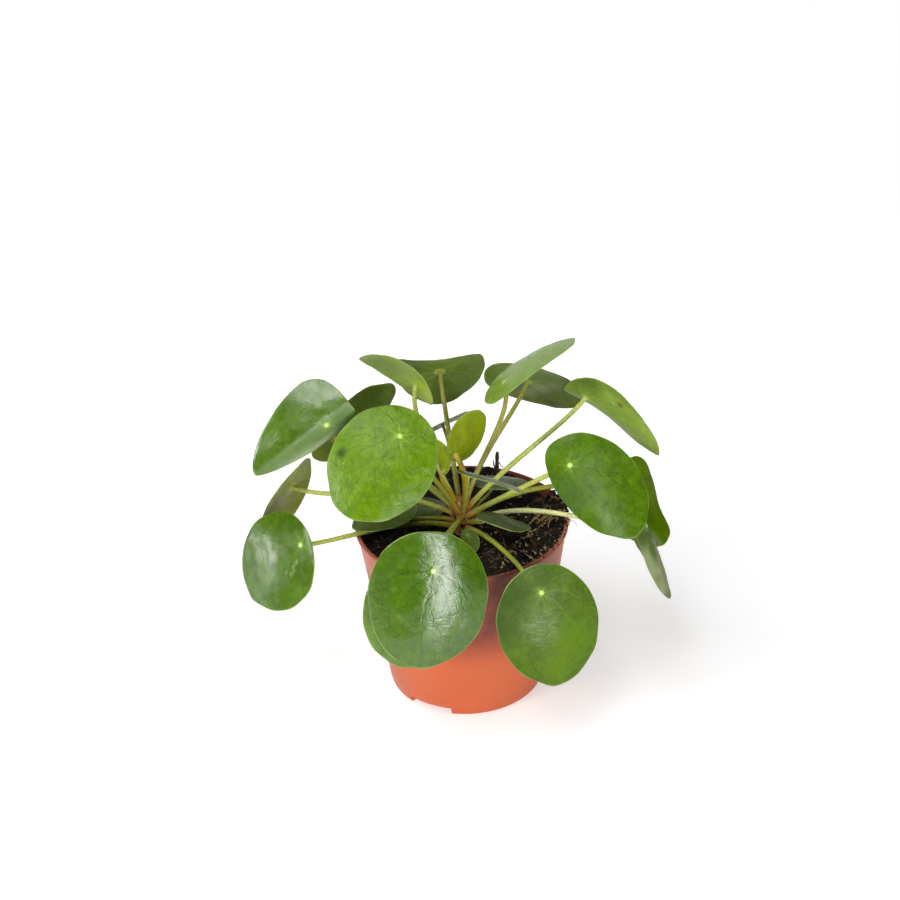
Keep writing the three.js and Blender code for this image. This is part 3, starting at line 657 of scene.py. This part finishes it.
def tube(path, radii, sides, flatten=1.0, ridges=0.0):
    """Points and faces of a closed tube. flatten is the share of its width that is its thickness."""
    path = np.asarray(path, dtype=float)
    points = []
    for centre, radius, one, two in zip(path, radii, *frames_along(path)):
        for side in range(sides):
            angle = FULL_TURN * side / sides
            grown = radius * (1 + ridges * cos(5 * angle))
            points.append(centre + one * grown * flatten * cos(angle) + two * grown * sin(angle))
    points.extend([path[0], path[-1]])
    count = len(path) * sides
    return np.array(points), ring_faces(len(path), sides, 0, count, count + 1)


def bezier(a, b, c, d, steps):
    t = np.linspace(0, 1, steps + 1)[:, None]
    return (1 - t) ** 3 * a + 3 * (1 - t) ** 2 * t * b + 3 * (1 - t) * t ** 2 * c + t ** 3 * d


class Heap:
    """Many small bodies that are joined into one piece."""

    def __init__(self):
        self.points, self.faces, self.tints, self.count = [], [], [], 0

    def add(self, points, faces, tint, tone=1.0):
        self.points.append(points)
        self.faces.extend(tuple(index + self.count for index in face) for face in faces)
        self.tints.append(np.broadcast_to(np.asarray(tint, dtype=float) * tone, (len(points), 3)))
        self.count += len(points)

    def finish(self, name, material, slot, nodes=()):
        tints = np.concatenate(self.tints)
        tints = np.hstack([tints, np.ones((len(tints), 1))])
        add_soft_piece(name, np.concatenate(self.points), self.faces, [material], nodes,
                       {"tint": ("FLOAT_COLOR", "color", tints)})


# Petioles
def petiole_material():
    coat = Surface("petiole", IOR=1.45, Subsurface_Weight=0.25, Subsurface_Scale=0.002,
                   Subsurface_Radius=(1.0, 0.9, 0.2))
    place = coat.place()
    streak = place.noise(900, 3, 0.6).ease(0.35, 0.7)
    coat.paint(streak, coat.mix(1, coat.colour, (0.62, 0.66, 0.5), "MULTIPLY"))
    coat.paint(place.noise(2200, 1).ease(0.66, 0.74) * 0.5, (0.20, 0.09, 0.02))
    roughness = place.noise(500, 2).ease(0.3, 0.7, 0.32, 0.46)
    return coat.finish(roughness, place.noise(1500, 4, 0.6), 0.0002, 0.5)


def droop_at_hub(leaf):
    """How far the blade hangs down beside the petiole's tip."""
    angle = np.arange(20) * FULL_TURN / 20
    place = blade_point(leaf, np.full(20, 1 / 3), angle)
    return PETIOLE.tip * min(0, (place[:, 2] / np.hypot(place[:, 0], place[:, 1])).min())


def make_petiole(number, leaf, material):
    hub, up = np.array(leaf.hub), leaf_axes(leaf)[2]
    height, rise, bearing = leaf.base
    outward = direction(bearing)
    start = outward * PETIOLE.root + np.array([0, 0, height])
    leave = outward * cos(radians(rise)) + np.array([0, 0, sin(radians(rise))])
    end = hub - up * (BLADE_THICKNESS / 2 + PETIOLE.gap - droop_at_hub(leaf))
    span = np.linalg.norm(end - start)
    arrive = (end - start) / span * (1 - leaf.meet) + up * leaf.meet
    arrive /= np.linalg.norm(arrive)
    steps = 56
    path = bezier(start, start + leave * span * PETIOLE.leaving, end - arrive * span * PETIOLE.arriving,
                  end, steps)
    path = np.vstack([path, hub - up * 0.1])
    length = np.concatenate([[0], np.cumsum(np.linalg.norm(np.diff(path, axis=0), axis=1))])
    rest = length[-1] - length
    radii = (PETIOLE.base + (PETIOLE.tip - PETIOLE.base) * (length / length[-1])) * leaf.slim
    radii = radii * (1 + 0.5 * np.exp(-(length / 5) ** 2) + 0.35 * np.exp(-(rest / 1.2) ** 2))
    brown_reach = 9 if leaf.slim >= 1 else 5
    brown = np.exp(-(length / brown_reach) ** 2)[:, None]
    tints = np.array(STALKS[leaf.stalk]) * (1 - brown) + np.array(STALK_FOOT) * brown
    pale = np.exp(-(rest / 5) ** 2)[:, None] * 0.5
    tints = tints * (1 - pale) + np.array(STALK_TIP) * pale
    tints = np.vstack([np.repeat(tints, PETIOLE_SIDES, axis=0), tints[:1], tints[-1:]])
    heap = Heap()
    heap.add(*tube(path, radii, PETIOLE_SIDES, ridges=0.025), tints)
    heap.finish(f"stalk_{number}", material, "petiole", [f"leaf_{number}_petiole"])


# Pot
def outer_radius(height):
    return POT.foot + (POT.rim - POT.lip_overhang - POT.foot) * height / POT.height


def arc(centre, radius, start, end, steps=4):
    turns = np.radians(np.linspace(start, end, steps + 1))
    return [(centre[0] + radius * cos(turn), centre[1] + radius * sin(turn)) for turn in turns]


def ring(radius, height, sides):
    return [(*polar(radius, FULL_TURN * side / sides), height) for side in range(sides)]


def turned(profile, sides):
    """A closed body turned round +Z from a profile of (radius, height) that starts and ends on the axis."""
    points = [(0, 0, profile[0][1])]
    for radius, height in profile[1:-1]:
        points += ring(radius, height, sides)
    points.append((0, 0, profile[-1][1]))
    return points, ring_faces(len(profile) - 2, sides, 1, 0, len(points) - 1)


def sector_block(inside, outside, low, high, middle, half):
    """A block that is bent round the pot's axis."""
    angles = np.radians(np.linspace(middle - half, middle + half, DRAIN.steps + 1))
    outline = [polar(outside, a) for a in angles] + [polar(inside, a) for a in angles[::-1]]
    count = len(outline)
    points = [(*place, z) for z in (low, high) for place in outline]
    faces = [tuple(range(count))[::-1], tuple(range(count, 2 * count))]
    faces += [(n, (n + 1) % count, count + (n + 1) % count, count + n) for n in range(count)]
    return points, faces


def pocket_blocks(margin):
    """The raised blocks round the drainage pockets, grown by a margin."""
    inside = POT.foot - DRAIN.depth - POT.wall - margin
    outside = POT.foot - DRAIN.inset + margin
    top = DRAIN.height + POT.wall + margin
    half = DRAIN.half_angle + degrees((POT.wall + margin) / POT.foot)
    return [sector_block(inside, outside, DRAIN.lift, top, bearing, half) for bearing in DRAIN.bearings]


def carved(points, faces, tools, soft=0):
    """A mesh with the tools joined on or cut out, and its sharp edges softened."""
    body = linked("scratch", new_mesh("scratch", points, faces))
    for operation, tool_points, tool_faces in tools:
        modifier = body.modifiers.new("cut", "BOOLEAN")
        modifier.operation = operation
        modifier.solver = "EXACT"
        modifier.object = linked("scratch", new_mesh("scratch", tool_points, tool_faces))
    if soft:
        softened = body.modifiers.new("soft", "BEVEL")
        softened.width = soft * MM
        softened.segments = 2
        softened.limit_method = "ANGLE"
        softened.angle_limit = radians(50)
    mesh = bpy.data.meshes.new_from_object(body.evaluated_get(bpy.context.evaluated_depsgraph_get()))
    for piece in [o for o in bpy.data.objects if o.name.startswith("scratch")]:
        bpy.data.objects.remove(piece)
    return mesh


def pot_mesh():
    top, under = POT.height, POT.height - POT.lip_height
    inner = POT.rim - POT.lip_width
    bend = POT.lip_round
    foot = POT.foot_round
    taper = under - POT.lip_taper
    profile = [(0, 0), (POT.foot - 12, 0)]
    profile += arc((POT.foot - foot, foot), foot, -90, 0)
    profile += [(outer_radius(height), height) for height in np.linspace(foot + 2, under - 0.6, 14)]
    profile += [(outer_radius(under), under)]
    profile += arc((POT.rim - 0.3, under + 0.3), 0.3, -90, 0, 2)
    profile += arc((POT.rim - bend, top - bend), bend, 0, 90)
    profile += arc((inner + bend, top - bend), bend, 90, 180)
    profile += [(outer_radius(height) - POT.wall, height) for height in (taper, 70, 40, 12, 3.2)]
    profile += [(outer_radius(1.4) - 3, POT.floor), (0, POT.floor)]
    tools = [("UNION", *block) for block in pocket_blocks(0)]
    inside = POT.foot - DRAIN.depth
    bore = [(0, 0), (DRAIN.hole_radius, 0), (DRAIN.hole_radius, 8), (0, 8)]
    for bearing in DRAIN.bearings:
        tools.append(("DIFFERENCE", *sector_block(inside, POT.rim, -POT.floor, DRAIN.height,
                                                  bearing, DRAIN.half_angle)))
        for side in (-1, 1):
            angle = radians(bearing + side * DRAIN.hole_bearing)
            points, faces = turned(bore, 32)
            centre = np.array([*polar(POT.foot - DRAIN.depth / 2, angle), 1])
            tools.append(("DIFFERENCE", np.array(points) + centre, faces))
    return carved(*turned(profile, POT.sides), tools, 0.35)


def pot_material():
    coat = Surface("pot_plastic", (0.53, 0.108, 0.036), IOR=1.48, Specular_IOR_Level=0.3,
                   Subsurface_Weight=0.06, Subsurface_Scale=0.002)
    place = coat.place()
    depth, height = place.split()[1:]
    coat.paint(place.noise(18, 3).ease(0.3, 0.7), (0.59, 0.126, 0.045))
    # Dust on the upper half, partly a painted pale reflection, and painted shadow of the leaves over the
    # upper front
    cloudy = place.noise(55, 4, 0.6).ease(0.3, 0.7, 0.6, 1)
    coat.paint(height.ease(0.06, 0.1, 0, 0.45) * cloudy, (0.60, 0.22, 0.165))
    painted_leaf_shadow = height.ease(0.032, 0.064) * depth.ease(-0.052, -0.036, 0.95, 0)
    coat.paint(painted_leaf_shadow * cloudy, (0.13, 0.028, 0.021))
    # A dull lip, painted shade on the inner wall at the back, and specks of peat below the lip
    coat.paint(height.ease(0.1005, 0.1022, 0, 0.35) * cloudy, (0.16, 0.066, 0.045))
    coat.paint(height.ease(0.088, 0.096) * depth.ease(0.015, 0.035, 0, 0.7), (0.10, 0.018, 0.014))
    speck = place.noise(900, 2, 0.5).ease(0.7, 0.76)
    coat.paint(speck * height.ease(0.094, 0.103, 0.05, 0.8), (0.06, 0.03, 0.02))
    roughness = place.noise(40, 3).ease(0.3, 0.7, 0.34, 0.46)
    return coat.finish(roughness, place.noise(700, 4, 0.6), 0.00006, 0.4)


# Soil
def soil_level(x, y):
    level = SOIL.front + (SOIL.back - SOIL.front) * (np.clip(y / POT.rim, -1, 1) + 1) / 2
    near = np.exp(-(np.hypot(x, y) / SOIL.dip_radius) ** 2)
    lumps = sum(np.sin(FULL_TURN * (ax * x + ay * y + start)) for ax, ay, start in SOIL.lumps)
    return level - SOIL.dip * near + SOIL.lump * lumps * (1 - near)


def on_soil(x, y, lift=0.0):
    """A place on the soil's surface with its clods, or above it."""
    rough = noise.fractal((x * 0.09, y * 0.09, 3.0), 0.6, 2.2, 5)
    ridged = 1 - abs(noise.noise((x * 0.22, y * 0.22, 8.0))) * 2
    hollow = 5 * exp(-(hypot(x - SOIL_HOLLOW[0], y - SOIL_HOLLOW[1]) / 14) ** 2)
    level = float(soil_level(x, y)) + 1.1 * rough + 0.7 * (ridged - 0.5) - hollow
    return np.array([x, y, level + lift])


def soil_material(name, colour=None):
    """Peat in its own colour, or loose bits in the colours of their points."""
    coat = Surface(name, colour, Specular_IOR_Level=0.3)
    place = coat.place()
    if colour:
        coat.paint(place.noise(260, 5, 0.7).ease(0.35, 0.68), (0.018, 0.011, 0.007))
        coat.paint(place.noise(1500, 2, 0.6).ease(0.66, 0.72) * 0.6, (0.20, 0.14, 0.07))
    grain = place.noise(1700, 5, 0.7)
    coat.paint(grain.ease(0.35, 0.65, 0.4, 0), (0.005, 0.004, 0.003))
    return coat.finish(grain.ease(0.3, 0.7, 0.7, 0.95), grain, 0.0006, 0.9)


def make_soil():
    rings, sectors = 90, 200
    bottom = POT.floor + 0.3
    rim = outer_radius(97) - POT.wall - 0.2
    walls = (bottom, 20, 45, 70, 90)
    points = [(0, 0, bottom)]
    for height in walls:
        points += ring(outer_radius(height) - POT.wall - 0.3, height, sectors)
    for row in range(rings, 0, -1):
        points += [on_soil(x, y) for x, y, _ in ring(rim * row / rings, 0, sectors)]
    points.append(on_soil(0, 0))
    faces = ring_faces(rings + len(walls), sectors, 1, 0, len(points) - 1)
    mesh = carved(points, faces, [("DIFFERENCE", *block) for block in pocket_blocks(0.3)])
    add_sharp_piece("peat", mesh, soil_material("peat", (0.003, 0.002, 0.0015)), "soil")


def lump(size, stretch, detail, roughness):
    """Points and faces of one small irregular body."""
    ball = bmesh.new()
    bmesh.ops.create_icosphere(ball, subdivisions=detail, radius=1)
    points = np.array([v.co[:] for v in ball.verts])
    faces = [tuple(v.index for v in f.verts) for f in ball.faces]
    ball.free()
    seed = rng.uniform(0, 90)
    swell = np.array([noise.noise(Vector(p) * 1.3 + Vector((seed, 0, 0))) for p in points])
    points = points * (1 + roughness * swell)[:, None] * np.array(stretch) * size
    spin = np.array(Matrix.Rotation(rng.uniform(0, 6.3), 3, Vector(rng.normal(size=3)).normalized()))
    return points @ spin.T, faces


def in_pot(within=SOIL_REACH):
    """A random place on the soil."""
    while True:
        x, y = rng.uniform(-within, within, 2)
        if 6 < hypot(x, y) < within:
            return x, y


def fibre(places, radius):
    """A thin root, straw or thread through four places."""
    steps = 10
    path = bezier(*(np.array(place, dtype=float) for place in places), steps)
    return tube(path, radius * (1 - 0.6 * np.abs(np.linspace(-1, 1, steps + 1)) ** 3), 5)


def make_clods():
    clods = Heap()
    for _ in range(1150):
        x, y = in_pot()
        size = min(2.4, 0.55 * exp(rng.normal(0, 0.5)))
        stretch = (1, rng.uniform(0.6, 1), rng.uniform(0.5, 0.9))
        points, faces = lump(size, stretch, 1 if size < 1.1 else 2, 0.9)
        clods.add(points + on_soil(x, y, size * 0.25), faces, PEAT, rng.uniform(0.5, 1.6))
    clods.finish("peat_clods", soil_material("clod"), "soil")


def make_chips():
    chips = Heap()
    # Pale chips, nearly half of them and the large ones strewn over the front right
    strewn, large = 390, 80
    for number in range(800):
        x, y = in_pot()
        if number < strewn:
            x, y = 38 + rng.normal(0, 15), -18 + rng.normal(0, 19)
            if hypot(x, y) > SOIL_REACH:
                continue
        size = min(1.6, 0.34 * exp(rng.normal(0, 0.65)))
        if number < large:
            size = rng.uniform(0.8, 1.5)
        points, faces = lump(size, (1, rng.uniform(0.5, 0.9), rng.uniform(0.3, 0.7)), 1, 0.7)
        tone = rng.uniform(0.8 if number < large else 0.03, 1.15) ** 1.7
        chips.add(points + on_soil(x, y, size * 0.4), faces, CHIP, tone)
    # Flakes of bark
    for _ in range(150):
        x, y = in_pot()
        points, faces = lump(rng.uniform(0.8, 2.2), (1, 0.45, 0.2), 1, 0.5)
        chips.add(points + on_soil(x, y, 0.3), faces, (0.16, 0.085, 0.035), rng.uniform(0.4, 1.2))
    # Peat that is heaped over the lip on the right
    for number in range(150):
        bearing = radians(rng.normal(7, 11))
        radius = rng.uniform(53, 60.6)
        points, faces = lump(rng.uniform(0.5, 1.5), (1, 0.7, 0.6), 1, 0.9)
        tint = (0.028, 0.015, 0.010) if number % 5 else (0.40, 0.27, 0.12)
        level = POT.height + (0.4 if radius > 57 else rng.uniform(-0.6, 1.2))
        chips.add(points + (*polar(radius, bearing), level), faces, tint, rng.uniform(0.5, 1.3))
    # Crumbs that were spilt on the lip
    for number in range(190):
        bearing = radians(rng.normal(-24, 26))
        radius = rng.uniform(57.4, 59.7)
        size = 0.36 * exp(rng.normal(0, 0.4))
        points, faces = lump(size, (1, 0.8, 0.6), 1, 0.8)
        tint = (0.03, 0.018, 0.011) if number % 2 else (0.34, 0.24, 0.12)
        chips.add(points + (*polar(radius, bearing), POT.height + size * 0.3), faces, tint)
    chips.finish("bark_chips", soil_material("chip"), "soil")


def make_threads():
    threads = Heap()
    for _ in range(150):
        start = np.array(in_pot(52))
        ahead = np.array(polar(1, rng.uniform(0, 6.3)))
        long = rng.uniform(2.5, 9)
        places = [start + ahead * long * share + rng.normal(0, long * 0.12, 2)
                  for share in (0, 0.33, 0.66, 1)]
        if any(hypot(*place) > SOIL_REACH for place in places):
            continue
        lifted = [on_soil(x, y, rng.uniform(0.2, 0.9)) for x, y in places]
        tone = rng.uniform(0.25, 1.3)
        threads.add(*fibre(lifted, rng.uniform(0.1, 0.26)), (0.30, 0.20, 0.10), tone)
    # The roots and straws that the photograph shows one by one
    pale = (0.62, 0.52, 0.36)
    for places, radius, tint in (
        ([on_soil(36, -5, 0.6), on_soil(40, -1, 1.2), on_soil(44, 4, 1.6), on_soil(48, 9, 0.8)], 0.22, pale),
        ([on_soil(22, -12, 0.6), on_soil(23.5, -15, 1.5), on_soil(22.5, -19, 1.2), on_soil(24, -22, 0.4)],
         0.28, (0.42, 0.20, 0.15)),
        ([on_soil(31, -27, 0.8), on_soil(36, -35, 2), (40, -44, 104), (42, -49.5, 99.5)], 0.2, pale),
        ([(55, -6, 103.6), (59.5, -4, 104.6), (63, -5, 103.5), (65, -9, 101)], 0.15, (0.2, 0.16, 0.1)),
        ([(56, -1, 103.5), (60, 1, 105), (64, 0, 104.5), (66.5, -5, 102)], 0.14, (0.2, 0.15, 0.1)),
    ):
        threads.add(*fibre(places, radius), tint)
    # A tuft of straw at the right
    for _ in range(26):
        x, y = 50 + rng.normal(0, 3), 8 + rng.normal(0, 4.5)
        away = rng.uniform(5, 11)
        bow = rng.normal(0, 1.5)
        tip = (x - away * 0.55 + rng.normal(0, 1.6), y - away * 0.8)
        straw = fibre([on_soil(x, y, 0.9), on_soil(x - away * 0.2 + bow, y - away * 0.25, 2.4),
                       on_soil(x - away * 0.4 + bow, y - away * 0.5, 2.0), on_soil(*tip, 0.6)],
                      rng.uniform(0.2, 0.42))
        threads.add(*straw, STRAW, rng.uniform(0.5, 1.3))
    # A curl of bark at the front
    curl = [(26 + 3.2 * cos(a), -34 + 4.6 * sin(a)) for a in np.linspace(0.4, 5.2, 14)]
    path = [on_soil(x, y, 0.8 + 0.5 * sin(n)) for n, (x, y) in enumerate(curl)]
    threads.add(*tube(path, np.linspace(0.75, 0.4, 14), 6, 0.5), (0.40, 0.21, 0.07))
    threads.finish("roots_and_straw", soil_material("thread"), "soil")


# Stem and twig
def crown_material():
    dark, scale = (0.24, 0.105, 0.028), 420
    coat = Surface("crown", dark, Specular_IOR_Level=0.4)
    place = coat.place()
    coarse = place.noise(scale, 5, 0.65, 0.6)
    crack = place.cells(scale * 1.6).ease(0, 0.12, 1, 0)
    coat.paint(coarse.ease(0.35, 0.65), (0.58, 0.31, 0.08))
    coat.paint(crack * 0.6, toned(dark, 0.3))
    return coat.finish(coarse.ease(0.3, 0.7, 0.5, 0.75), coarse - crack * 0.4, 0.0005, 0.8)


def papery_material():
    coat = Surface("scale", Specular_IOR_Level=0.4, Subsurface_Weight=0.1, Subsurface_Scale=0.001)
    grain = coat.place().noise(1300, 4, 0.6)
    coat.paint(grain.ease(0.35, 0.7, 0.55, 0), (0.05, 0.022, 0.008))
    return coat.finish(grain.ease(0.3, 0.7, 0.45, 0.7), grain, 0.0003, 0.7)


def make_stem():
    rings, dome, sectors = 90, 8, 48
    angles = [FULL_TURN * sector / sectors for sector in range(sectors)]
    points = []
    for row in range(rings + 1):
        share = row / rings
        height = STEM.bottom + (STEM.top - STEM.bottom) * share
        scar = STEM.scar * (1 + cos(FULL_TURN * height / STEM.scar_pitch)) / 2
        radius = STEM.foot + (STEM.tip - STEM.foot) * share - scar
        for a in angles:
            rough = noise.fractal((*polar(2.2, a), height * 0.5), 0.6, 2.1, 4)
            points.append((*polar(radius + 0.35 * rough, a), height))
    for step in range(1, dome):
        turn = pi / 2 * step / dome
        height = STEM.top + STEM.rise * sin(turn)
        points += [(*polar(STEM.tip * cos(turn) * (1 + 0.06 * cos(3 * a)), a), height) for a in angles]
    count = len(points)
    points += [(0, 0, STEM.top + STEM.rise), (0, 0, STEM.bottom)]
    faces = ring_faces(rings + dome, sectors, 0, count + 1, count)
    add_soft_piece("crown", points, faces, [crown_material()], ["stem"], {})


def make_scales(leaves):
    """Papery scales between the petioles' feet."""
    scales = Heap()
    for leaf in leaves.values():
        height, _, bearing = leaf.base
        for _ in range(2):
            out = direction(bearing + rng.normal(0, 32))
            low = height + rng.uniform(-3.5, 0.5)
            long = rng.uniform(3, 6)
            start = out * 3.8 + np.array([0, 0, low])
            end = start + out * long * 0.45 + np.array([0, 0, long * 0.8])
            path = bezier(start, start + out * 1.6, end - np.array([0, 0, long * 0.4]), end, 7)
            radii = rng.uniform(0.8, 1.4) * np.sin(np.linspace(0.9, pi - 0.08, 8))
            scales.add(*tube(path, radii, 8, 0.3), (0.48, 0.24, 0.065), rng.uniform(0.45, 1.3))
    scales.finish("crown_scales", papery_material(), "stem")


def make_twig():
    foot, tip = np.array(TWIG.foot, dtype=float), np.array(TWIG.tip, dtype=float)
    share = np.linspace(0, 1, 27)
    path = foot + (tip - foot) * share[:, None]
    path += np.stack([0.35 * np.sin(share * 7), 0.3 * np.cos(share * 5), 0 * share], axis=1)
    radii = TWIG.foot_radius + (TWIG.tip_radius - TWIG.foot_radius) * share
    radii = radii * (1.12 + 0.25 * np.sin(share * 23) * np.sin(share * 9))
    bark = (0.035, 0.020, 0.014)
    heap = Heap()
    heap.add(*tube(path, radii, 14, 0.7, 0.12), bark)
    # A fork to the left and a torn strip to the right
    fork = ((0, 0, 0), (-1.5, 0, 2), (-2.6, 0, 4.5), (-2.2, 0, 7))
    fork = bezier(*(path[14] + away for away in fork), 9)
    heap.add(*tube(fork, np.linspace(0.9, 0.35, 10), 8, 0.7, 0.1), bark, 0.8)
    strip = ((0, 0, 0), (1.2, -0.5, 0.5), (2.6, -0.8, -3), (4.6, -1.0, -6))
    strip = bezier(*(path[20] + away for away in strip), 9)
    heap.add(*tube(strip, np.linspace(0.45, 0.15, 10), 6), (0.22, 0.12, 0.06))
    heap.finish("bark_twig", papery_material(), "bark", ["twig"])


# Setting
def make_camera():
    rise = radians(CAMERA_ELEVATION)
    right = Vector((1, 0, 0))
    up = Vector((0, sin(rise), cos(rise)))
    back = Vector((0, -cos(rise), sin(rise)))
    axes = Matrix((right, up, back)).transposed().to_4x4()
    camera = bpy.data.cameras.new("camera")
    camera.lens = CAMERA_LENS
    camera.sensor_width = 36
    camera.clip_start = 0.02
    camera.clip_end = 50
    piece = linked("camera", camera)
    roll = Matrix.Rotation(radians(CAMERA_ROLL), 4, "Z")
    piece.matrix_world = Matrix.Translation(Vector(CAMERA_PLACE) * MM) @ axes @ roll
    bpy.context.scene.camera = piece


def make_floor():
    radius, sides = 0.75, 96
    mesh = bpy.data.meshes.new("floor")
    mesh.from_pydata(ring(radius, 0, sides), [], [tuple(range(sides))])
    coat = Surface("floor", (0.86, 0.86, 0.86), Roughness=0.9, Specular_IOR_Level=0.1,
                   Emission_Color=(1, 1, 1, 1))
    # The photograph's floor is overexposed, so it shows brighter than the light it gives back
    reach = coat.math("LENGTH", coat.place(), kind="VectorMath", output="Value")
    glow = coat.read("LightPath", "Is Camera Ray") * reach.ease(0.2, 0.5, 0.31, 0.9)
    glow = glow + coat.read("LightPath", "Is Glossy Ray") * 0.25
    coat.feed(coat.shader.inputs["Emission Strength"], glow + 0.1)
    coat.paint(reach.ease(0.12, 0.7), (0.97, 0.97, 0.97))
    mesh.materials.append(coat.finish())
    floor = linked("floor", mesh)
    floor.location = (0, 0, -0.0001)


def make_sky():
    """A white backdrop behind the plant, a dim room before it, and plain white where the camera looks."""
    world = bpy.data.worlds.new("studio")
    world.use_nodes = True
    sky = Nodes(world.node_tree)
    background = sky.tree.nodes["Background"]
    background.inputs["Color"].default_value = (1, 1, 1, 1)
    depth = sky.read("TexCoord", "Generated").split()[1]
    light = sky.math("MAXIMUM", depth.ease(0.7, 0.97, 0.03, 0.9), sky.read("LightPath", "Is Camera Ray"))
    sky.feed(background.inputs["Strength"], light)
    bpy.context.scene.world = world
    bpy.context.scene.view_settings.view_transform = "Standard"


def make_light(name, bearing, elevation, distance, wide, tall, radiance):
    """A soft rectangular light that looks at the plant."""
    aim = Vector((0, 0, 0.1))
    rise = radians(elevation)
    away = Vector((*polar(cos(rise), radians(bearing)), sin(rise)))
    lamp = bpy.data.lights.new(name, "AREA")
    lamp.shape = "RECTANGLE"
    lamp.size, lamp.size_y = wide, tall
    lamp.energy = radiance * wide * tall * pi
    piece = linked(name, lamp)
    turn = away.to_track_quat("Z", "Y").to_matrix().to_4x4()
    piece.matrix_world = Matrix.Translation(aim + away * distance) @ turn
    piece.visible_camera = False


leaves = {number: Sizes(**{**USUAL_LEAF, **dict(zip(LEAF_MEASURES, measures)), **rest})
          for number, (*measures, rest) in LEAVES.items()}

make_camera()
add_sharp_piece("nursery_pot", pot_mesh(), pot_material(), "pot")
make_soil()
make_clods()
make_chips()
make_threads()
make_stem()
make_scales(leaves)
make_twig()

faces = {label: leaf_face(f"leaf_face_{label}", **tones) for label, tones in FACES.items()}
backs = {label: leaf_back(f"leaf_back_{label}", **tones) for label, tones in BACKS.items()}
rim_material, stalk_material = leaf_rim(), petiole_material()
for number, leaf in leaves.items():
    make_blade(number, leaf, [faces[leaf.face], backs[leaf.back], rim_material])
    make_petiole(number, leaf, stalk_material)

make_floor()
make_sky()
make_light("top", -165, 70, 1.4, 1.1, 1.0, 3.45)
make_light("key", -146, 27, 1.5, 0.34, 0.34, 22)
make_light("left", 181, 3, 1.5, 0.22, 0.22, 12)
make_light("front", -80, 8, 1.6, 0.6, 0.95, 11.5)
make_light("upper", -109, 55, 1.5, 0.4, 0.42, 8)
